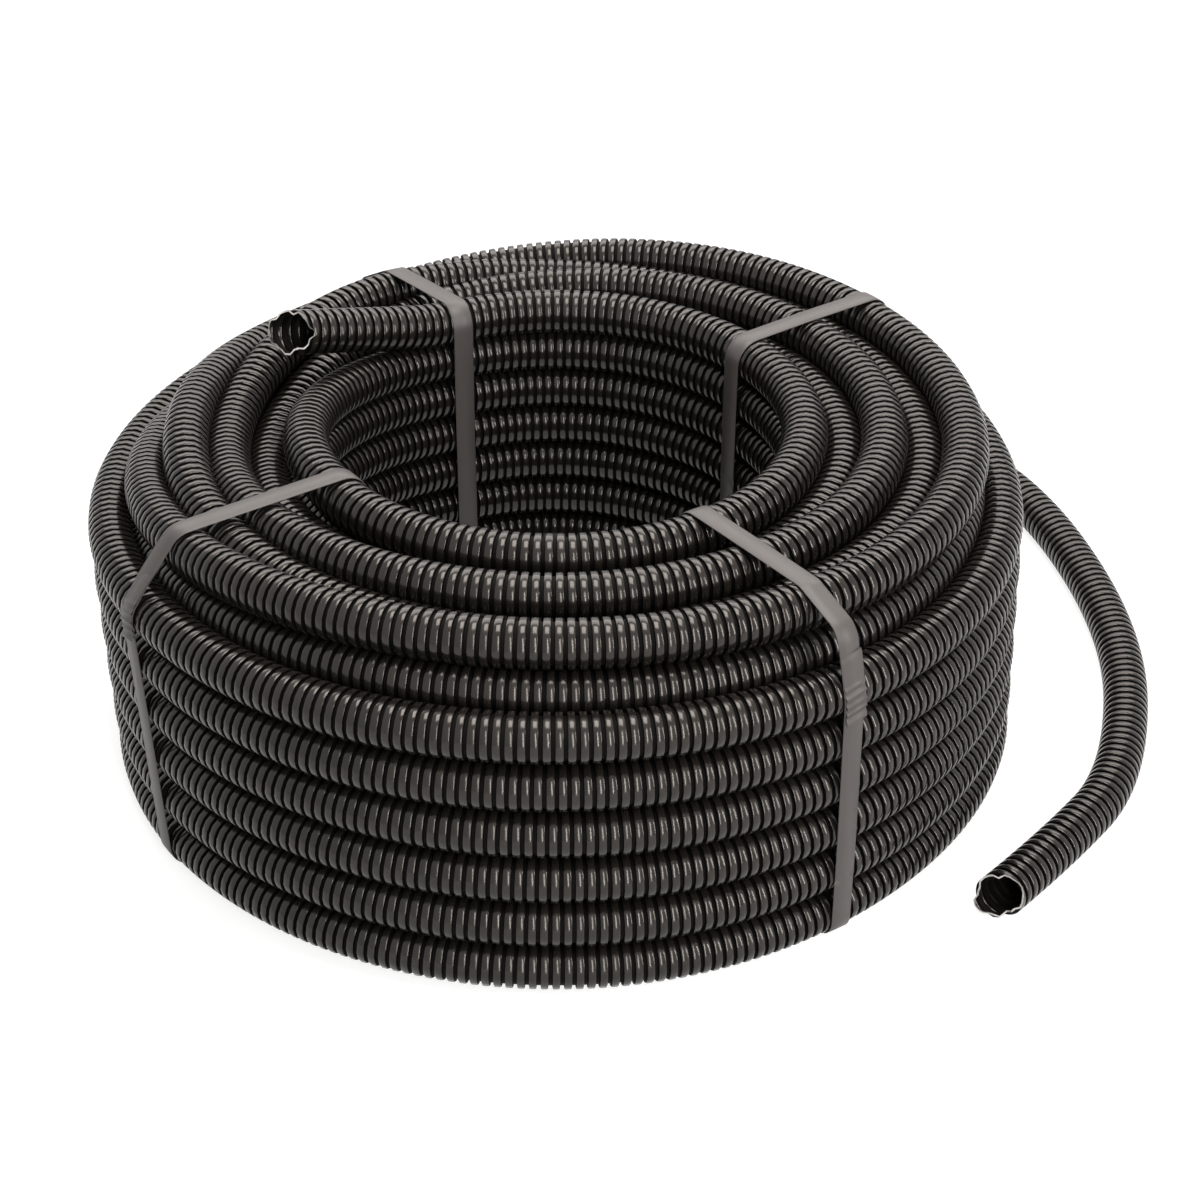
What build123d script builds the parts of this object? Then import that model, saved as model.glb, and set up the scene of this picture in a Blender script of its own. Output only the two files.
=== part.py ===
from build123d import *
import math
import os

# Corrugated conduit, one 50 m length of 25 mm stock wound into a coil and held by four straps.
# Frame: the coil's axis is Z, the floor is z = 0, and +Y points to the back.

# Conduit
CONDUIT_OD = 25.0
CONDUIT_WALL = 3.2

# Winding: whole columns of turns with a shorter one nested between two, and a looser outermost column
INNER_TURN_RADIUS = 133.0
COLUMN_PITCH = 21.3
ROW_PITCH = 24.6
WHOLE_COLUMN_COUNT = 3
ROWS = 8
OUTER_ROWS = 7
OUTER_DROP = 9.0
TURN_SIDES = 8

# Straps
STRAP_WIDTH = 12.0
STRAP_THICKNESS = 0.6
STRAP_CLEARANCE = 0.3
LAP_LENGTH = 36.0
LAP_HEIGHT = 158.0
STRAP_ANGLES = {
    "strap_front_left": 214.0,
    "strap_back_left": 116.0,
    "strap_back_right": 35.0,
    "strap_front_right": 303.0,
}

# Upper free end: the last inner turn runs straight out over its neighbours
TOP_END_ANGLE = 121.5
TOP_END_REACH = 91.0
TOP_END_RISE = 21.0
TOP_END_GAP = 34.0

# Lower free end: the last outer turn leaves the coil at the back and lies round its right side
TAIL_ANGLE = 112.0
TAIL_GAP = 27.0
TAIL_STRAIGHT = 70.0
TAIL_POINTS = [
    (84.0, 295.0),
    (209.0, 308.0),
    (299.0, 240.0),
    (338.0, 60.0),
    (312.0, -82.0),
    (262.0, -147.0),
    (227.0, -184.0),
]
TAIL_SIDES = 16
FILLET_SHARE = 0.45
MOUTH_DEPTH = 27.0
TURN_CLEARANCE = 0.3

# What follows from the sizes above
TUBE_R = CONDUIT_OD / 2
BORE_R = TUBE_R - CONDUIT_WALL
WHOLE_COLUMNS = [INNER_TURN_RADIUS + 2 * COLUMN_PITCH * i for i in range(WHOLE_COLUMN_COUNT)]
OUTER_TURN_RADIUS = WHOLE_COLUMNS[-1] + COLUMN_PITCH
LOW_ROW = STRAP_THICKNESS + STRAP_CLEARANCE + TUBE_R
TOP_ROW = LOW_ROW + ROW_PITCH * (ROWS - 1)
TOP_NESTED_ROW = TOP_ROW - ROW_PITCH / 2
OUTER_TOP_ROW = TOP_ROW - OUTER_DROP
OUTER_ROW_PITCH = (OUTER_TOP_ROW - LOW_ROW) / (OUTER_ROWS - 1)
HALF_FLAT = TUBE_R * math.tan(math.pi / TURN_SIDES)


def on_circle(radius, angle, z):
    """The point at this radius and angle round the coil's axis."""
    a = math.radians(angle)
    return Vector(radius * math.cos(a), radius * math.sin(a), z)


def turn_section(radius, z, margin=0.0):
    """One turn in section, its flats at the conduit's outside size and a margin."""
    sides = RegularPolygon(TUBE_R + margin, TURN_SIDES, major_radius=False, rotation=180 / TURN_SIDES)
    return Pos(radius, z) * sides


def hull_round(turns, margin):
    """The tight outline round these turns in section, this far off their flats."""
    return make_hull([e for r, z in turns for e in turn_section(r, z, margin).edges()])


def showing_turns():
    """The turns that show, round the half section from its low inner corner, each with the ways it faces."""
    down, outward, up, inward = (0, -1), (1, 0), (0, 1), (-1, 0)
    turns = [(INNER_TURN_RADIUS, LOW_ROW, [inward, down])]
    turns += [(r, LOW_ROW, [down]) for r in WHOLE_COLUMNS[1:-1]]
    turns += [(OUTER_TURN_RADIUS, LOW_ROW, [down, outward])]
    turns += [(OUTER_TURN_RADIUS, LOW_ROW + OUTER_ROW_PITCH * i, [outward]) for i in range(1, OUTER_ROWS - 1)]
    turns += [(OUTER_TURN_RADIUS, OUTER_TOP_ROW, [outward, up])]
    for r in reversed(WHOLE_COLUMNS[1:]):
        turns += [(r, TOP_ROW, [up]), (r - COLUMN_PITCH, TOP_NESTED_ROW, [up])]
    turns += [(INNER_TURN_RADIUS, TOP_ROW, [up, inward])]
    turns += [(INNER_TURN_RADIUS, LOW_ROW + ROW_PITCH * i, [inward]) for i in range(ROWS - 2, 0, -1)]
    return turns


def winding_section():
    """Half section of the coil: flats on the turns that show, and a valley where two of them touch."""
    turns = showing_turns()
    points = []
    for (r, z, ways), (next_r, next_z, _) in zip(turns, turns[1:] + turns[:1]):
        for way_r, way_z in ways:
            for along in (-HALF_FLAT, HALF_FLAT):
                points += [(r + way_r * TUBE_R - way_z * along, z + way_z * TUBE_R + way_r * along)]
        points += [((r + next_r) / 2, (z + next_z) / 2)]
    return Polygon(*points, align=None)


def turned(section, start, angle):
    """A half section turned about the coil's axis, from a start angle through an angle."""
    return Rot(0, 0, start) * revolve(Plane.XZ * section, Axis.Z, angle)


def conduit_coil():
    """The wound turns as one turned solid, with room where each free end leaves its turn."""
    over_nested = TOP_NESTED_ROW + CONDUIT_OD + 2 * TURN_CLEARANCE
    top_way = [(INNER_TURN_RADIUS, TOP_ROW), (INNER_TURN_RADIUS + COLUMN_PITCH, over_nested)]
    low_turn = turn_section(OUTER_TURN_RADIUS, LOW_ROW, TURN_CLEARANCE)
    coil = turned(winding_section(), 0, 360)
    coil -= turned(hull_round(top_way, TURN_CLEARANCE), TOP_END_ANGLE, TOP_END_GAP)
    coil -= turned(low_turn, TAIL_ANGLE - TAIL_GAP, TAIL_GAP)
    return coil


def mouth_bore(mouth):
    """The clear bore at an open end, in from its mouth."""
    return extrude(mouth * Circle(BORE_R), -MOUTH_DEPTH)


def conduit_top_end():
    """The straight upper end, open at its mouth, which starts flat on the cut of its turn."""
    start = on_circle(INNER_TURN_RADIUS, TOP_END_ANGLE, TOP_ROW)
    along = on_circle(1, TOP_END_ANGLE + 90, 0)
    rise = along * TOP_END_REACH + Vector(0, 0, TOP_END_RISE)
    mouth = Plane(start + rise, z_dir=rise)
    tube = extrude(mouth * Circle(TUBE_R), -rise.length - TUBE_R)
    return split(tube, Plane(start, z_dir=along), keep=Keep.TOP) - mouth_bore(mouth)


def tail_path():
    """Straight runs joined by the largest arcs that the runs have room for."""
    start = on_circle(OUTER_TURN_RADIUS, TAIL_ANGLE, LOW_ROW)
    along = on_circle(1, TAIL_ANGLE - 90, 0)
    points = [start, start + along * TAIL_STRAIGHT] + [Vector(x, y, TUBE_R) for x, y in TAIL_POINTS]
    radii = []
    for before, corner, after in zip(points, points[1:], points[2:]):
        arriving, leaving = corner - before, after - corner
        shorter = min(arriving.length, leaving.length)
        half_turn = math.radians(arriving.get_angle(leaving)) / 2
        radii.append(FILLET_SHARE * shorter / math.tan(half_turn))
    print("tail arc radii", [round(r) for r in radii])
    return FilletPolyline(*points, radius=radii)


def conduit_tail():
    """The lower end, which lies on the floor with its mouth open."""
    path = tail_path()
    sides = RegularPolygon(TUBE_R, TAIL_SIDES, major_radius=False, rotation=180 / TAIL_SIDES)
    tail = sweep(Plane(path @ 0, z_dir=path % 0) * sides, path=path)
    print("tail length", round(path.length, 1), "volume share", round(tail.volume / (sides.area * path.length), 4))
    return tail - mouth_bore(Plane(path @ 1, z_dir=path % 1))


def strap(angle):
    """A flat band pulled tight round the winding, with its welded lap on the outer face."""
    corners = [(INNER_TURN_RADIUS, LOW_ROW), (INNER_TURN_RADIUS, TOP_ROW), (WHOLE_COLUMNS[-1], TOP_ROW)]
    corners += [(OUTER_TURN_RADIUS, LOW_ROW), (OUTER_TURN_RADIUS, OUTER_TOP_ROW)]
    outside = STRAP_CLEARANCE + STRAP_THICKNESS
    inner_hull = hull_round(corners, STRAP_CLEARANCE)
    outer_hull = hull_round(corners, outside)
    lap = Pos(OUTER_TURN_RADIUS + TUBE_R + outside, LAP_HEIGHT) * Rectangle(2 * STRAP_THICKNESS, LAP_LENGTH)
    band = Plane.XZ * (outer_hull + lap - inner_hull)
    return Rot(0, 0, angle) * extrude(band, STRAP_WIDTH / 2, both=True)


os.makedirs("parts", exist_ok=True)
export_step(conduit_coil(), "parts/conduit_coil.step")
export_step(conduit_top_end(), "parts/conduit_top_end.step")
export_step(conduit_tail(), "parts/conduit_tail.step")
for name, angle in STRAP_ANGLES.items():
    export_step(strap(angle), f"parts/{name}.step")
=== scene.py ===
import math

import bpy
import numpy as np
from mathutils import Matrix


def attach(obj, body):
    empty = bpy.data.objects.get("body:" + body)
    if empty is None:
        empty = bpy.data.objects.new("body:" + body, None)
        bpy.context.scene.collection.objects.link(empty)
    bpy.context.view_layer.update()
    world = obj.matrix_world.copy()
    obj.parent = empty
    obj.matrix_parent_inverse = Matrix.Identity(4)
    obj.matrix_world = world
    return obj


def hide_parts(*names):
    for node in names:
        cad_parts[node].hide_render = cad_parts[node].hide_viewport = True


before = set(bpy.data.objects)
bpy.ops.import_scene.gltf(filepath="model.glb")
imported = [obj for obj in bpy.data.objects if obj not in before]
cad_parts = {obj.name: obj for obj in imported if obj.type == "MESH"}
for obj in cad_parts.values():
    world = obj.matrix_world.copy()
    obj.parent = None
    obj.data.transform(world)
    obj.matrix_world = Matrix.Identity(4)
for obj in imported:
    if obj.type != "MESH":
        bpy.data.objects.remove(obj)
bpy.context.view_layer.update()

# Corrugated conduit coil: ribbed turns, two open ends and four straps.
# Sizes are in millimetres until a mesh is made, and the stage is in metres.
MM = 0.001
UP = np.array([0.0, 0.0, 1.0])

# Conduit and its ribs
TUBE_R = 12.5
RIB_PITCH = 5.6
GROOVE_DEPTH = 2.0
WALL = 1.0
TURN_SIDES = 16
END_SIDES = 28
# From the start of one groove to the next: share of the pitch, share of the groove's depth
RIB = [(0.0, 1.0), (0.32, 1.0), (0.36, 0.12), (0.45, 0.0), (0.89, 0.0), (0.97, 0.12)]
HIDDEN_RIB = [(0.0, 1.0), (0.37, 1.0), (0.43, 0.0), (0.95, 0.0)]
SHARP_ANGLE = 40.0

# Winding
INNER_TURN_RADIUS = 133.0
COLUMN_PITCH = 21.3
ROW_PITCH = 24.6
ROWS = 8
OUTER_ROWS = 6
OUTER_ROW_PITCH = 27.2
LOW_ROW = 13.4
TOP_ROW = LOW_ROW + ROW_PITCH * (ROWS - 1)
LOW_NESTED_ROW = LOW_ROW + ROW_PITCH / 2
TOP_NESTED_ROW = TOP_ROW - ROW_PITCH / 2
COLUMNS = [INNER_TURN_RADIUS + COLUMN_PITCH * i for i in range(6)]
WINDING_STEP = 0.75
# Angles round the coil between which a turn moves to the next one's place
OUTER_STEP = (40.0, 110.0)
TOP_STEP = (110.0, 190.0)
INNER_STEP = (105.0, 205.0)
# Where turns sag, the share that the back takes of the front's squeeze, and angles and amounts of bulges
SAG_ANGLE = 152.0
SAG_POWER = 4
BACK_SHARE = 0.4
BULGES = [(0.0, 1.0), (180.0, -0.5), (-45.0, -0.7)]
BULGE_POWER = 8
# Waves of a loose turn in and out, and up and down: height, count round the coil and shift
WANDER_MIDDLE = 0.5
WANDER = [(0.3, 1.93, 0.0), (0.2, 3.07, 1.0)]
BOB = [(0.5, 2.05, 2.0), (0.3, 4.1, 0.0)]

# The middle of the winding, filled with a ring in painted shade
CORE_INNER_R = COLUMNS[0] + 9.0
CORE_OUTER_R = COLUMNS[4] + 4.0
CORE_LOW = 34.0
CORE_TOP = 140.0
CORE_ANGLE_STEP = 3.0

# Free ends
TAIL_ANGLE = 112.0
TAIL_STRAIGHT = 70.0
TAIL_POINTS = [
    (84.0, 295.0),
    (209.0, 308.0),
    (299.0, 240.0),
    (338.0, 60.0),
    (312.0, -82.0),
    (262.0, -147.0),
    (227.0, -184.0),
]
TOP_END_ANGLE = 121.5
TOP_END_REACH = 91.0
TOP_END_RISE = 21.0
TOP_END_BLEND = 7.0
TOP_END_EASE = 25.0
INSIDE_DEPTH = 110.0
SAW_MARGIN = 14.0
# Shift of each ragged saw cut's waves, and the way that it slants
TOP_END_TEAR = 0.6
TOP_END_SLANT = (0.29, -0.36, 0.28)
TAIL_TEAR = 2.0
TAIL_SLANT = (0.1, -0.3, 0.25)
# A torn notch in each cut: its depth, and its place and width round the mouth in radians
NOTCH_DEPTH = 3.2
NOTCH_TURN = 2.2
NOTCH_WIDTH = 0.28

# Straps
STRAP_WIDTH = 12.0
STRAP_THICKNESS = 0.6
STRAP_CLEARANCE = 0.3
STRAP_EDGE = 0.35
STRAP_CROWN_SHARE = 0.12
STRAP_ANGLES = {
    "strap_front_left": 214.0,
    "strap_back_left": 116.0,
    "strap_back_right": 35.0,
    "strap_front_right": 303.0,
}
# Slack corners that a band is bent to off the turns, as radius and height
SLACK_CORNERS = {"strap_front_right": [(232.0, 179.0)]}
# How far each band runs askew on its outer leg, at the coil's top and at the floor
STRAP_SKEWS = {
    "strap_front_left": (-11.0, 5.0),
    "strap_back_left": (16.0, 6.0),
    "strap_back_right": (0.0, -3.0),
    "strap_front_right": (5.0, 12.0),
}
LAP_LENGTH = 36.0
LAP_HEIGHT = 158.0
LAP_SIDESTEP = 0.5
WELD_RINGS = 46
WELD_TILT = 0.25
CREASES = 8
CREASE_HEIGHT = 1.1
LIP_HEIGHT = 1.6

# Stage
FLOOR_HALF = 6.0
CAMERA_ELEVATION = math.radians(33.5)
CAMERA_DISTANCE = 1.4
CAMERA_AIM_HEIGHT = 0.0728
CAMERA_LENS = 74.94
CAMERA_SENSOR = 36.0
CAMERA_SHIFT = 0.0371


def smooth(t):
    """From 0 to 1 with level ends."""
    t = np.clip(t, 0.0, 1.0)
    return t * t * (3.0 - 2.0 * t)


def unit(v):
    return v / np.linalg.norm(v, axis=-1, keepdims=True)


def waves(at, rows):
    """The sum of sine waves, each given by its height, its count in a full turn and its shift."""
    return sum(height * np.sin(count * at + shift) for height, count, shift in rows)


def lobe(angles, middle, power):
    """1 at the middle angle, falling smoothly to 0 opposite it."""
    return ((1 + np.cos(angles - math.radians(middle))) / 2) ** power


def travelled(path):
    """How far each point of a path lies along it."""
    return np.concatenate([[0.0], np.cumsum(np.linalg.norm(np.diff(path, axis=0), axis=1))])


def on_circle(radius, angle, z):
    a = math.radians(angle)
    return np.array([radius * math.cos(a), radius * math.sin(a), z])


# Materials
def new_material(name):
    mat = bpy.data.materials.new(name)
    mat.use_nodes = True
    tree = mat.node_tree
    return mat, tree, tree.nodes["Principled BSDF"]


def own_space(tree):
    """The object's own coordinates."""
    return tree.nodes.new("ShaderNodeTexCoord").outputs["Object"]


def attribute(tree, name):
    """A number stored on the mesh."""
    node = tree.nodes.new("ShaderNodeAttribute")
    node.attribute_name = name
    return node.outputs["Fac"]


def noise(tree, vector, scale, detail):
    """A noise texture read at this vector."""
    node = tree.nodes.new("ShaderNodeTexNoise")
    node.inputs["Scale"].default_value = scale
    node.inputs["Detail"].default_value = detail
    tree.links.new(vector, node.inputs["Vector"])
    return node.outputs["Fac"]


def spread(tree, value, low, high):
    """A noise value, mostly from 0.3 to 0.7, moved onto low to high."""
    node = tree.nodes.new("ShaderNodeMapRange")
    node.inputs["From Min"].default_value = 0.3
    node.inputs["From Max"].default_value = 0.7
    node.inputs["To Min"].default_value = low
    node.inputs["To Max"].default_value = high
    tree.links.new(value, node.inputs["Value"])
    return node.outputs["Result"]


def maths(tree, operation, *values):
    """A maths node on sockets and plain numbers."""
    node = tree.nodes.new("ShaderNodeMath")
    node.operation = operation
    for socket, value in zip(node.inputs, values):
        if isinstance(value, float):
            socket.default_value = value
        else:
            tree.links.new(value, socket)
    return node.outputs[0]


def colour_between(tree, shader, factor, first, second):
    """Gives a shader the base colour that lies between two by a factor."""
    node = tree.nodes.new("ShaderNodeMix")
    node.data_type = "RGBA"
    # Inputs 6 and 7 are the two colours, and output 2 is their mix
    node.inputs[6].default_value = (*first, 1.0)
    node.inputs[7].default_value = (*second, 1.0)
    tree.links.new(factor, node.inputs[0])
    tree.links.new(node.outputs[2], shader.inputs["Base Color"])


def bump(tree, shader, height, strength, distance):
    node = tree.nodes.new("ShaderNodeBump")
    node.inputs["Strength"].default_value = strength
    node.inputs["Distance"].default_value = distance
    tree.links.new(height, node.inputs["Height"])
    tree.links.new(node.outputs["Normal"], shader.inputs["Normal"])


def mix_to_output(tree, factor, first, second, output):
    """Joins two shaders by a factor into an output node."""
    pick = tree.nodes.new("ShaderNodeMixShader")
    tree.links.new(factor, pick.inputs[0])
    tree.links.new(first.outputs[0], pick.inputs[1])
    tree.links.new(second.outputs[0], pick.inputs[2])
    tree.links.new(pick.outputs[0], tree.nodes[output].inputs["Surface"])


def conduit_material():
    """Black satin plastic: each rib a little different, with a fine moulded grain."""
    mat, tree, shader = new_material("conduit_black")
    where = own_space(tree)
    patch = noise(tree, where, 28.0, 3.0)
    grain = noise(tree, where, 1400.0, 2.0)
    each_rib = tree.nodes.new("ShaderNodeTexWhiteNoise")
    each_rib.noise_dimensions = "1D"
    tree.links.new(maths(tree, "FLOOR", attribute(tree, "rib")), each_rib.inputs["W"])
    both = maths(tree, "MULTIPLY_ADD", each_rib.outputs["Value"], 0.25, patch)
    colour_between(tree, shader, both, (0.007, 0.006, 0.0052), (0.015, 0.0130, 0.0114))
    tree.links.new(spread(tree, both, 0.13, 0.20), shader.inputs["Roughness"])
    shader.inputs["Specular IOR Level"].default_value = 0.44
    shader.inputs["Specular Tint"].default_value = (1.0, 0.95, 0.90, 1.0)
    bump(tree, shader, grain, 0.1, 0.0002)
    return mat


def groove_shade_material():
    """The floor and walls of the grooves, dull and nearly without gloss, and painted near black as the
    shade that falls deep between the ribs.
    """
    mat, tree, shader = new_material("conduit_groove_shade")
    shade_patch = noise(tree, own_space(tree), 90.0, 3.0)
    # Painted shade: near black, far darker than the ribs' own colour, with a patchy noise in it
    colour_between(tree, shader, shade_patch, (0.001, 0.001, 0.001), (0.004, 0.0035, 0.003))
    shader.inputs["Roughness"].default_value = 0.7
    shader.inputs["Specular IOR Level"].default_value = 0.08
    return mat


def cut_material():
    """The sawn rim of an end, paler and rougher than the moulded skin."""
    mat, tree, shader = new_material("conduit_cut")
    tear = noise(tree, own_space(tree), 700.0, 3.0)
    colour_between(tree, shader, tear, (0.35, 0.33, 0.32), (0.85, 0.83, 0.81))
    shader.inputs["Roughness"].default_value = 0.55
    bump(tree, shader, tear, 0.4, 0.0004)
    return mat


def core_shade_material():
    """Painted shade for the unlit inside of the winding, near black and darker than the conduit, seen only
    through slits between turns.
    """
    mat, tree, shader = new_material("conduit_core_shade")
    patch = noise(tree, own_space(tree), 60.0, 2.0)
    # Painted shade: near black, darker than the conduit's own colour
    colour_between(tree, shader, patch, (0.002, 0.002, 0.002), (0.006, 0.0055, 0.005))
    shader.inputs["Roughness"].default_value = 0.8
    return mat


def strap_material():
    """Grey strapping band with drawn streaks along it and a satin skin."""
    mat, tree, shader = new_material("strap_grey")
    place = tree.nodes.new("ShaderNodeCombineXYZ")
    tree.links.new(attribute(tree, "along"), place.inputs["X"])
    tree.links.new(attribute(tree, "across"), place.inputs["Y"])
    stretch = tree.nodes.new("ShaderNodeMapping")
    stretch.inputs["Scale"].default_value = (0.012, 1.1, 1.0)
    tree.links.new(place.outputs["Vector"], stretch.inputs["Vector"])
    streak = noise(tree, stretch.outputs["Vector"], 1.6, 4.0)
    patch = noise(tree, place.outputs["Vector"], 0.05, 2.0)
    both = maths(tree, "MULTIPLY_ADD", streak, 0.5, maths(tree, "MULTIPLY", patch, 0.5))
    colour_between(tree, shader, both, (0.049, 0.044, 0.042), (0.080, 0.071, 0.068))
    tree.links.new(spread(tree, streak, 0.38, 0.55), shader.inputs["Roughness"])
    bump(tree, shader, streak, 0.25, 0.0003)
    return mat


CONDUIT = conduit_material()
GROOVE = groove_shade_material()
CUT = cut_material()
CORE = core_shade_material()
STRAP = strap_material()


# Meshes
def add_grid(name, grid, closed, materials):
    """A smooth mesh of rings of points, each joined to the next, and the last to the first if closed."""
    rings, sides = grid.shape[:2]
    spans = rings if closed else rings - 1
    ring = np.arange(spans)[:, None] * sides
    after = ((np.arange(spans)[:, None] + 1) % rings) * sides
    side = np.arange(sides)[None, :]
    beside = (side + 1) % sides
    quads = np.stack([ring + side, after + side, after + beside, ring + beside], axis=-1).reshape(-1, 4)
    mesh = bpy.data.meshes.new(name)
    mesh.vertices.add(rings * sides)
    mesh.vertices.foreach_set("co", (grid * MM).ravel())
    mesh.loops.add(quads.size)
    mesh.loops.foreach_set("vertex_index", quads.ravel())
    mesh.polygons.add(len(quads))
    mesh.polygons.foreach_set("loop_start", np.arange(len(quads)) * 4)
    mesh.polygons.foreach_set("use_smooth", np.ones(len(quads), dtype=bool))
    for mat in materials:
        mesh.materials.append(mat)
    mesh.update(calc_edges=True)
    obj = bpy.data.objects.new(name, mesh)
    bpy.context.scene.collection.objects.link(obj)
    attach(obj, "root")
    return obj


def keep_value(obj, name, values):
    """Stores one number a point for the material to read."""
    layer = obj.data.attributes.new(name, "FLOAT", "POINT")
    layer.data.foreach_set("value", np.asarray(values, dtype=np.float32).ravel())


def dress_ribs(obj, rows, number, sides):
    """Gives each row of faces its material and each ring its rib's number, and keeps edges crisp."""
    obj.data.polygons.foreach_set("material_index", np.repeat(rows, sides))
    keep_value(obj, "rib", np.repeat(number, sides))
    obj.data.set_sharp_from_angle(angle=math.radians(SHARP_ANGLE))


def groove_rows(radii):
    """1 for each row of faces that has a ring on a groove's floor, which gets the painted groove shade, and
    0 for a rib's outside.
    """
    deep = TUBE_R - radii > GROOVE_DEPTH / 2
    return (deep[:-1] | deep[1:]).astype(np.int32)


def rings_along(path, along, radii, sides):
    """Rings of points round a path, at these distances along it, and the way that it heads there."""
    way = travelled(path)
    headings = np.gradient(path, way, axis=0)
    centre = np.stack([np.interp(along, way, path[:, i]) for i in range(3)], axis=-1)
    heading = unit(np.stack([np.interp(along, way, headings[:, i]) for i in range(3)], axis=-1))
    side = unit(np.cross(heading, UP))[:, None, :]
    rise = np.cross(side, heading[:, None, :])
    turn = (np.arange(sides) * 2 * math.pi / sides)[None, :, None]
    circle = np.cos(turn) * side + np.sin(turn) * rise
    return centre[:, None, :] + radii[:, None, None] * circle, heading


def ribs_along(length, rib):
    """Distances, radii and rib numbers of the rings of whole ribs that fill a length."""
    count = round(length / RIB_PITCH)
    share = np.array([u for u, _ in rib])
    depth = np.array([d for _, d in rib])
    number = (np.arange(count)[:, None] + share[None, :]).ravel()
    radii = TUBE_R - GROOVE_DEPTH * np.tile(depth, count)
    number = np.append(number, count)
    radii = np.append(radii, TUBE_R - GROOVE_DEPTH * depth[0])
    return number * length / count, radii, number


def ribbed_turns(name, path, rib, pieces):
    """A ribbed tube along a path, as this many meshes that each end at a groove."""
    along, radii, number = ribs_along(travelled(path)[-1], rib)
    grid, _ = rings_along(path, along, radii, TURN_SIDES)
    rows = groove_rows(radii)
    count = (len(along) - 1) // len(rib)
    ends = [round(count * i / pieces) * len(rib) for i in range(pieces + 1)]
    for i, (first, last) in enumerate(zip(ends, ends[1:])):
        obj = add_grid(f"{name}_{i + 1}", grid[first:last + 1], False, [CONDUIT, GROOVE])
        dress_ribs(obj, rows[first:last], number[first:last + 1], TURN_SIDES)
        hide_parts("conduit_coil")


def saw_line(turn, tear):
    """How far a ragged saw cut strays along the tube round its mouth, with one torn notch."""
    ragged = waves(turn, [(0.7, 1, tear), (0.6, 3, 2 * tear), (0.4, 7, 0.0)])
    off_notch = np.angle(np.exp(1j * (turn - tear - NOTCH_TURN)))
    return ragged - NOTCH_DEPTH * np.exp(-((off_notch / NOTCH_WIDTH) ** 2))


def ribbed_end(name, path, tear, slant):
    """A ribbed tube with an open mouth, ribbed inside too, sawn off raggedly and at a slant."""
    mouth = travelled(path)[-1]
    path = np.append(path, path[-1:] + SAW_MARGIN * unit(path[-1:] - path[-2:-1]), axis=0)
    along, radii, number = ribs_along(travelled(path)[-1], RIB)
    # The outside runs to the crest of the last rib, and the inside runs back from there
    last = len(along) - 3
    inside = np.flatnonzero(along > mouth - INSIDE_DEPTH)[::-1]
    inside = inside[inside <= last]
    order = np.concatenate([np.arange(last + 1), inside])
    wall = np.where(np.arange(len(order)) > last, WALL, 0.0)
    ring, heading = rings_along(path, along[order], np.ones(len(order)), END_SIDES)
    centre = ring.mean(axis=1, keepdims=True)
    spoke = ring - centre
    cut = mouth + saw_line(np.arange(END_SIDES) * 2 * math.pi / END_SIDES, tear)
    whole = along[order][:, None]
    reach = np.minimum(whole, cut - TUBE_R * spoke @ np.array(slant))
    radius = np.interp(reach, along, radii) - wall[:, None]
    grid = centre + radius[:, :, None] * spoke + (reach - whole)[:, :, None] * heading[:, None, :]
    obj = add_grid(name, grid, False, [CONDUIT, GROOVE, CUT])
    rows = groove_rows(radii[order])
    # The row between the outside and the inside is the sawn rim
    rows[last] = 2
    dress_ribs(obj, rows, number[order], END_SIDES)
    return obj


# Winding
def turn_at(radius, z, lean=0.0, squeeze=0.0, sink=0.0, side=0.0, loose=0.0):
    """One turn's radius and height, and how far it strays from them round the coil."""
    return (radius, z, lean, squeeze, sink, side, loose)


def wound(turns, start, stop, step):
    """The line of turns wound one after another, each moving to the next between the step's angles."""
    angle = np.append(np.arange(start, stop, WINDING_STEP), stop)
    number = np.floor((angle - step[0]) / 360).astype(int)
    number -= number[0]
    share = smooth(((angle - step[0]) % 360) / (step[1] - step[0]))
    turns = np.array(turns)
    before = turns[np.clip(number - 1, 0, len(turns) - 1)]
    here = turns[np.clip(number, 0, len(turns) - 1)]
    radius, z, lean, squeeze, sink, side, loose = (before + (here - before) * share[:, None]).T
    a = np.radians(angle)
    ends = np.sin(a) ** 2 * np.where(np.sin(a) < 0, 1.0, BACK_SHARE)
    bulge = sum(amount * lobe(a, middle, BULGE_POWER) for middle, amount in BULGES)
    radius = radius + squeeze * ends + side * bulge + loose * (WANDER_MIDDLE + waves(a, WANDER))
    z = z + lean * lobe(a, SAG_ANGLE, SAG_POWER) + sink * ends + loose * waves(a, BOB)
    return np.stack([radius * np.cos(a), radius * np.sin(a), z], axis=-1)


def outer_path():
    """From the tail's root up the outside, and in out of sight over the last row."""
    turns = []
    for i in range(OUTER_ROWS):
        z = LOW_ROW + OUTER_ROW_PITCH * i
        turns.append(turn_at(COLUMNS[5], z, lean=-1.2 * i, sink=1.0 * i, side=8.0 - 1.6 * i, loose=-1.6))
    turns += [turn_at(COLUMNS[4] - 2, TOP_ROW - 2 * ROW_PITCH)]
    return wound(turns, TAIL_ANGLE, OUTER_STEP[1] + 360 * OUTER_ROWS, OUTER_STEP)


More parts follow.
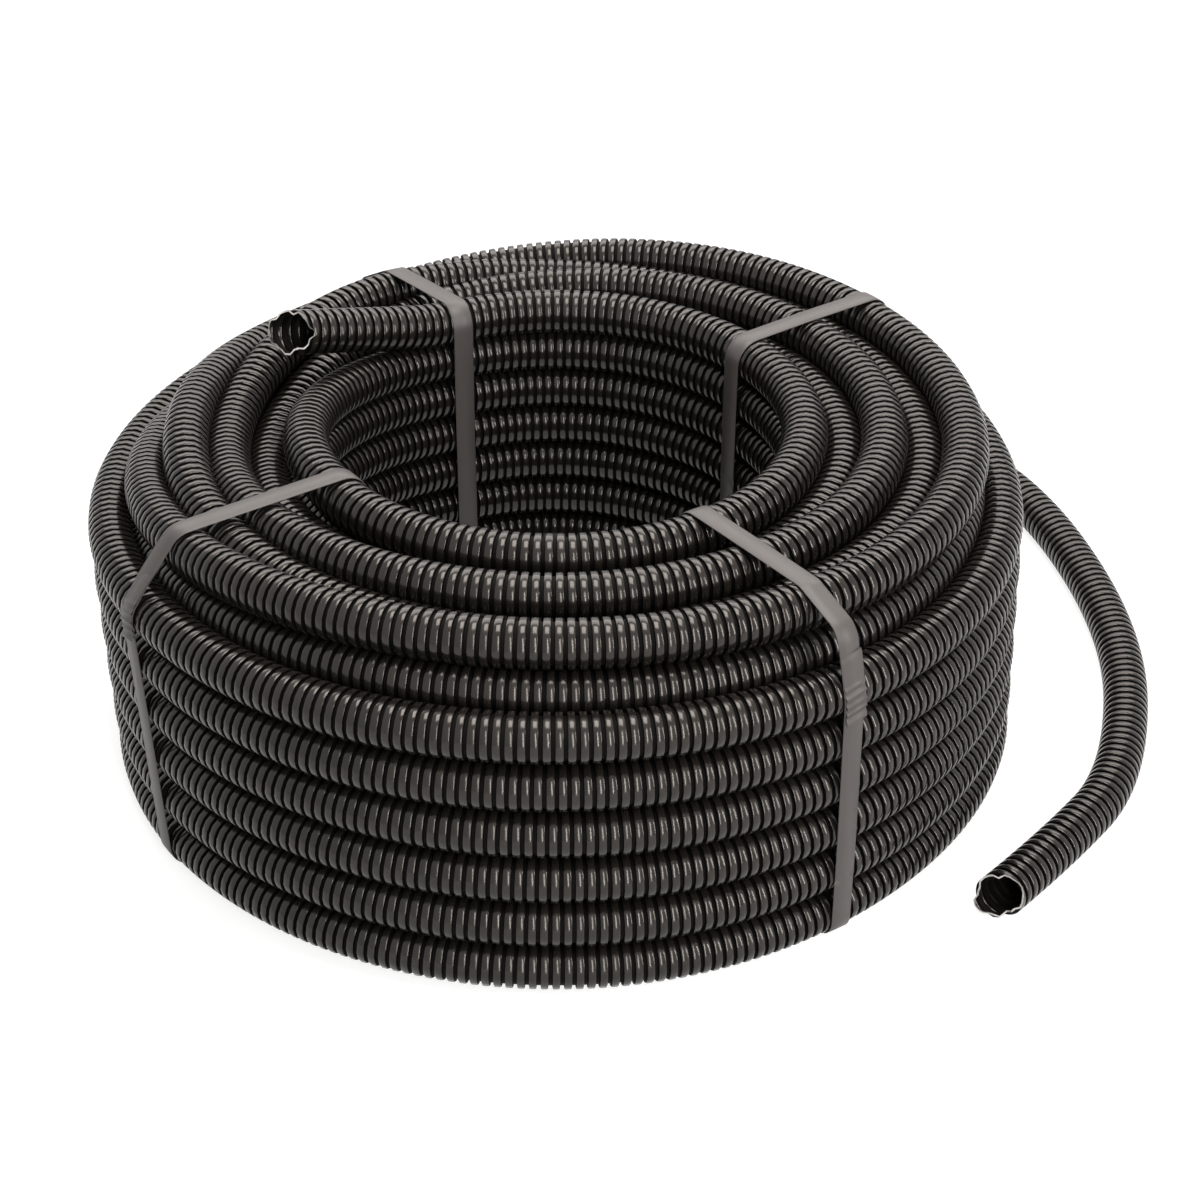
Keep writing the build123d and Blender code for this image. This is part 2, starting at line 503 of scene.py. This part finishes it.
def upper_path():
    """Up from inside the winding, inward over its top and down out of sight."""
    turns = [
        turn_at(COLUMNS[4] - 6, TOP_ROW - 2 * ROW_PITCH),
        turn_at(COLUMNS[4], TOP_ROW - ROW_PITCH, lean=-25.0, squeeze=-2.0, sink=2.0, loose=-0.8),
        turn_at(COLUMNS[4], TOP_ROW, lean=-27.0, squeeze=-8.0, sink=1.5, loose=-1.0),
        turn_at(COLUMNS[3], TOP_NESTED_ROW, lean=11.0, squeeze=-7.0, loose=-1.0),
        turn_at(COLUMNS[2], TOP_ROW, lean=-18.0, squeeze=-7.0, loose=-1.0),
        turn_at(COLUMNS[1], TOP_NESTED_ROW, lean=-20.0, squeeze=-4.0, sink=-5.0, loose=-0.8),
        turn_at(COLUMNS[1] + 10, TOP_NESTED_ROW - 26),
    ]
    return wound(turns, TOP_STEP[0] - 20, TOP_STEP[1] + 360 * (len(turns) - 2), TOP_STEP)


def bottom_path():
    """Inward under the coil, out of sight on the floor."""
    turns = [
        turn_at((COLUMNS[2] + COLUMNS[5]) / 2, LOW_NESTED_ROW),
        turn_at(COLUMNS[2], LOW_ROW),
        turn_at(COLUMNS[1], LOW_NESTED_ROW),
    ]
    return wound(turns, INNER_STEP[1], INNER_STEP[0] + 360 * len(turns), INNER_STEP)


def inner_path():
    """From the bottom up the inside of the coil, to where the upper free end leaves it."""
    turns = [turn_at(COLUMNS[0], LOW_ROW + ROW_PITCH * i, loose=1.4) for i in range(ROWS - 1)]
    turns += [turn_at(COLUMNS[0], TOP_ROW)]
    stop = TOP_END_ANGLE - TOP_END_BLEND + 360 * len(turns)
    return wound(turns, INNER_STEP[1], stop, INNER_STEP)


def top_end_path():
    """Off the last inner turn and straight out, rising over its neighbours."""
    root = on_circle(INNER_TURN_RADIUS, TOP_END_ANGLE - TOP_END_BLEND, TOP_ROW)
    corner = on_circle(INNER_TURN_RADIUS, TOP_END_ANGLE, TOP_ROW)
    mouth = corner + on_circle(TOP_END_REACH, TOP_END_ANGLE + 90, TOP_END_RISE)
    joined = corner + unit(mouth - corner) * TOP_END_EASE
    t = np.linspace(0, 1, 30)[:, None]
    bend = (1 - t) ** 2 * root + 2 * t * (1 - t) * corner + t ** 2 * joined
    return np.concatenate([bend, np.linspace(joined, mouth, 40)[1:]])


def tail_path():
    """Points read from the smooth line of the lower free end, from its root on the coil to its mouth."""
    root = on_circle(COLUMNS[5], TAIL_ANGLE, LOW_ROW)
    straight = root + on_circle(TAIL_STRAIGHT, TAIL_ANGLE - 90, 0.0)
    points = [tuple(root), tuple(straight)] + [(x, y, TUBE_R) for x, y in TAIL_POINTS]
    line = bpy.data.curves.new("tail_route", "CURVE")
    line.dimensions = "3D"
    line.resolution_u = 32
    spline = line.splines.new("NURBS")
    spline.points.add(len(points) - 1)
    for place, point in zip(spline.points, points):
        place.co = (*(c * MM for c in point), 1.0)
    spline.order_u = 3
    spline.use_endpoint_u = True
    holder = bpy.data.objects.new("tail_route", line)
    read = bpy.data.meshes.new_from_object(holder)
    route = np.array([v.co[:] for v in read.vertices]) / MM
    bpy.data.meshes.remove(read)
    bpy.data.objects.remove(holder)
    bpy.data.curves.remove(line)
    return route


def core_ring():
    """The filled middle of the winding, behind the turns that show, a dark ring in painted shade."""
    section = [
        (CORE_INNER_R, CORE_LOW),
        (CORE_OUTER_R, CORE_LOW),
        (CORE_OUTER_R, CORE_TOP),
        (CORE_INNER_R, CORE_TOP),
    ]
    angles = np.arange(0, 360, CORE_ANGLE_STEP)
    grid = np.array([[on_circle(r, a, z) for r, z in section] for a in angles])
    obj = add_grid("winding_core", grid[::-1], True, [CORE])
    obj.data.polygons.foreach_set("use_smooth", np.zeros(len(obj.data.polygons), dtype=bool))
    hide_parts("conduit_coil")


# Straps
def crossings(paths, angle):
    """Where the turns pass this angle round the coil, as radius and height."""
    found = []
    for path in paths:
        turned = np.unwrap(np.arctan2(path[:, 1], path[:, 0])) - math.radians(angle)
        at = np.flatnonzero(np.diff(np.floor(turned / (2 * math.pi))))
        found += [(math.hypot(x, y), z) for x, y, z in path[at]]
    return found


def bends_left(a, b, c):
    """Whether the way from a over b to c bends to the left."""
    return (b[0] - a[0]) * (c[1] - a[1]) - (b[1] - a[1]) * (c[0] - a[0]) > 0


def hull(points):
    """The corners of the tight outline round sorted points, counter-clockwise."""
    chains = []
    for ordered in (points, points[::-1]):
        chain = []
        for p in ordered:
            while len(chain) > 1 and not bends_left(chain[-2], chain[-1], p):
                chain.pop()
            chain.append(p)
        chains += chain[:-1]
    return chains


def band_outline(corners, offset):
    """Round the corner turns in section, this far off their middles, with the outward direction."""
    points, outward = [], []
    for i, corner in enumerate(corners):
        before = np.subtract(corner, corners[i - 1])
        after = np.subtract(corners[(i + 1) % len(corners)], corner)
        first = math.atan2(-before[0], before[1])
        last = first + (math.atan2(-after[0], after[1]) - first) % (2 * math.pi)
        for a in np.linspace(first, last, 9):
            outward.append(np.array([math.cos(a), math.sin(a)]))
            points.append(np.array(corner) + offset * outward[-1])
        for t in np.linspace(0, 1, max(3, round(math.hypot(*after) / 4)))[1:-1]:
            outward.append(outward[-1])
            points.append(np.array(corner) + after * t + offset * outward[-1])
    return np.array(points), np.array(outward)


def band_section():
    """A band's section, as places across it and shares of its thickness, with a slight crown."""
    half = STRAP_WIDTH / 2
    flat = half - STRAP_EDGE
    lower = [(-half, 0.0), (-flat, -0.5), (flat, -0.5)]
    upper = [(half, 0.0), (flat, 0.5), (0.0, 0.5 + STRAP_CROWN_SHARE), (-flat, 0.5)]
    return lower + upper


def band_rings(angle, points, outward, drift):
    """Rings of a flat band's section along an outline, at this angle round the coil."""
    radial = on_circle(1.0, angle, 0.0)
    across = on_circle(1.0, angle + 90, 0.0)
    middle = points[:, :1] * radial + points[:, 1:] * UP + drift[:, None] * across
    normal = outward[:, :1] * radial + outward[:, 1:] * UP
    rings = [middle + w * across + t * STRAP_THICKNESS * normal for w, t in band_section()]
    return np.stack(rings, axis=1)


def band_drift(name, angle, points):
    """How far a band strays sideways: a slight wander all along, and its skew on the outer leg."""
    around = np.linspace(0, 2 * math.pi, len(points), endpoint=False)
    wander = waves(around, [(0.5, 1, angle), (0.3, 3, 2 * angle)])
    high, low = STRAP_SKEWS[name]
    outer = np.clip((points[:, 0] - COLUMNS[0]) / (COLUMNS[5] - COLUMNS[0]), 0, 1)
    return wander + outer * (low + (high - low) * np.clip(points[:, 1] / TOP_ROW, 0, 1))


def weld_rings(angle, points, outward, drift):
    """The creased lap of a band's weld, which follows the band's outer leg."""
    share = np.linspace(0, 1, WELD_RINGS)
    run = travelled(points)
    facing = np.where(points[:, 0] > COLUMNS[3], points[:, 1], 0.0)
    lap = run[np.argmin(abs(facing - LAP_HEIGHT))] + LAP_LENGTH * (share - 0.5)
    values = (points[:, 0], points[:, 1], outward[:, 0], outward[:, 1], drift)
    radius, height, out_r, out_z, sway = [np.interp(lap, run, v) for v in values]
    lap_outward = unit(np.stack([out_r, out_z], axis=-1))
    # Creases on the lower two thirds, a lip that lifts at the low end, and a top end run into the band
    ridges = np.clip(np.sin(share * 2 * math.pi * CREASES), 0, 1)
    crease = CREASE_HEIGHT * ridges * smooth(share * 6) * smooth(2.6 - share * 4)
    lip = LIP_HEIGHT * smooth(1 - share * 9)
    stand_off = STRAP_THICKNESS * (0.85 - 0.6 * smooth(share * 12 - 11)) + crease + lip
    lap_points = np.stack([radius, height], axis=-1) + stand_off[:, None] * lap_outward
    lap_drift = sway + LAP_SIDESTEP + 0.15 * np.sin(share * 9)
    tilt = np.array([WELD_TILT * w for w, _ in band_section()])
    return band_rings(angle, lap_points, lap_outward, lap_drift) + tilt[None, :, None] * UP


def add_band(name, node, rings, closed):
    obj = add_grid(name, rings, closed, [STRAP])
    widths = [w for w, _ in band_section()]
    keep_value(obj, "along", np.repeat(travelled(rings.mean(axis=1)), len(widths)))
    keep_value(obj, "across", np.tile(widths, len(rings)))
    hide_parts(node)


def strap(name, angle, paths):
    """A band pulled tight round the winding, and its creased weld on the outer face."""
    corners = sorted(crossings(paths, angle) + SLACK_CORNERS.get(name, []))
    points, outward = band_outline(hull(corners), TUBE_R + STRAP_CLEARANCE + STRAP_THICKNESS / 2)
    drift = band_drift(name, angle, points)
    add_band(name, name, band_rings(angle, points, outward, drift), True)
    add_band(f"{name}_weld", name, weld_rings(angle, points, outward, drift), False)


turn_paths = [outer_path(), upper_path(), inner_path(), bottom_path(), top_end_path()]
ribbed_turns("outer_turns", turn_paths[0], RIB, 2)
ribbed_turns("upper_turns", turn_paths[1], RIB, 2)
ribbed_turns("inner_turns", turn_paths[2], RIB, 2)
ribbed_turns("bottom_turns", turn_paths[3], HIDDEN_RIB, 1)
core_ring()
top_end = ribbed_end("top_end", turn_paths[4], TOP_END_TEAR, TOP_END_SLANT)
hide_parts("conduit_top_end")
tail_line = tail_path()
tail = ribbed_end("tail", tail_line, TAIL_TEAR, TAIL_SLANT)
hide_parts("conduit_tail")
for strap_name, strap_angle in STRAP_ANGLES.items():
    strap(strap_name, strap_angle, turn_paths)


# Stage
def seen_or_mirrored(tree):
    """1 for what is seen straight, in a gloss or through glass, and 0 for the light that a thing throws."""
    path = tree.nodes.new("ShaderNodeLightPath")
    seen = path.outputs["Is Camera Ray"]
    for way in ("Is Glossy Ray", "Is Transmission Ray"):
        seen = maths(tree, "MAXIMUM", seen, path.outputs[way])
    return seen


def add_floor():
    """A white floor that keeps a soft shadow where it is seen or mirrored, and throws little light back."""
    mesh = bpy.data.meshes.new("floor")
    corners = [(x * FLOOR_HALF, y * FLOOR_HALF, 0) for x, y in ((-1, -1), (1, -1), (1, 1), (-1, 1))]
    mesh.from_pydata(corners, [], [(0, 1, 2, 3)])
    obj = bpy.data.objects.new("floor", mesh)
    bpy.context.scene.collection.objects.link(obj)
    mat, tree, shader = new_material("floor_white")
    shader.inputs["Base Color"].default_value = (0.35, 0.35, 0.35, 1.0)
    shader.inputs["Roughness"].default_value = 0.9
    shader.inputs["Specular IOR Level"].default_value = 0.0
    dim = tree.nodes.new("ShaderNodeBsdfDiffuse")
    dim.inputs["Color"].default_value = (0.08, 0.08, 0.08, 1.0)
    glow = tree.nodes.new("ShaderNodeEmission")
    glow.inputs["Strength"].default_value = 0.82
    lit = tree.nodes.new("ShaderNodeAddShader")
    tree.links.new(shader.outputs[0], lit.inputs[0])
    tree.links.new(glow.outputs[0], lit.inputs[1])
    mix_to_output(tree, seen_or_mirrored(tree), dim, lit, "Material Output")
    mesh.materials.append(mat)


def add_world():
    """White where it is seen or mirrored, and a dim even room for the light that it throws."""
    world = bpy.data.worlds.new("room")
    bpy.context.scene.world = world
    world.use_nodes = True
    tree = world.node_tree
    room = tree.nodes["Background"]
    room.inputs["Color"].default_value = (1.0, 0.98, 0.96, 1.0)
    room.inputs["Strength"].default_value = 0.15
    white = tree.nodes.new("ShaderNodeBackground")
    white.inputs["Color"].default_value = (1.0, 1.0, 1.0, 1.0)
    mix_to_output(tree, seen_or_mirrored(tree), room, white, "World Output")


def add_light(name, place, target, size, power, colour):
    """A rectangular soft light that faces a target."""
    data = bpy.data.lights.new(name, "AREA")
    data.shape = "RECTANGLE"
    data.size, data.size_y = size
    data.energy = power
    data.color = colour
    obj = bpy.data.objects.new(name, data)
    bpy.context.scene.collection.objects.link(obj)
    from_to = np.subtract(target, place)
    obj.location = place
    obj.rotation_euler = (
        math.atan2(math.hypot(from_to[0], from_to[1]), -from_to[2]),
        0.0,
        math.atan2(-from_to[0], from_to[1]),
    )


def add_camera():
    """The photograph's view, from the front and above."""
    data = bpy.data.cameras.new("camera")
    data.lens = CAMERA_LENS
    data.sensor_width = CAMERA_SENSOR
    data.shift_x = CAMERA_SHIFT
    obj = bpy.data.objects.new("camera", data)
    back = -CAMERA_DISTANCE * math.cos(CAMERA_ELEVATION)
    rise = CAMERA_DISTANCE * math.sin(CAMERA_ELEVATION)
    obj.location = (0.0, back, CAMERA_AIM_HEIGHT + rise)
    obj.rotation_euler = (math.pi / 2 - CAMERA_ELEVATION, 0.0, 0.0)
    bpy.context.scene.collection.objects.link(obj)
    bpy.context.scene.camera = obj


add_floor()
add_world()
add_light("front_strip", (0.35, -1.7, 0.9), (0.0, 0.0, 0.1), (0.22, 1.9), 24.0, (1.0, 0.97, 0.94))
add_light("overhead", (0.1, 0.0, 1.7), (0.1, 0.0, 0.1), (0.9, 0.9), 24.0, (1.0, 0.95, 0.91))
add_light("back_top", (0.0, 1.5, 1.5), (0.0, 0.0, 0.1), (3.0, 1.1), 38.0, (1.0, 0.94, 0.89))
add_light("right_front", (1.4, -0.9, 0.7), (0.0, 0.0, 0.1), (0.2, 1.3), 15.0, (1.0, 0.96, 0.92))
add_camera()
bpy.context.scene.view_settings.view_transform = "Standard"
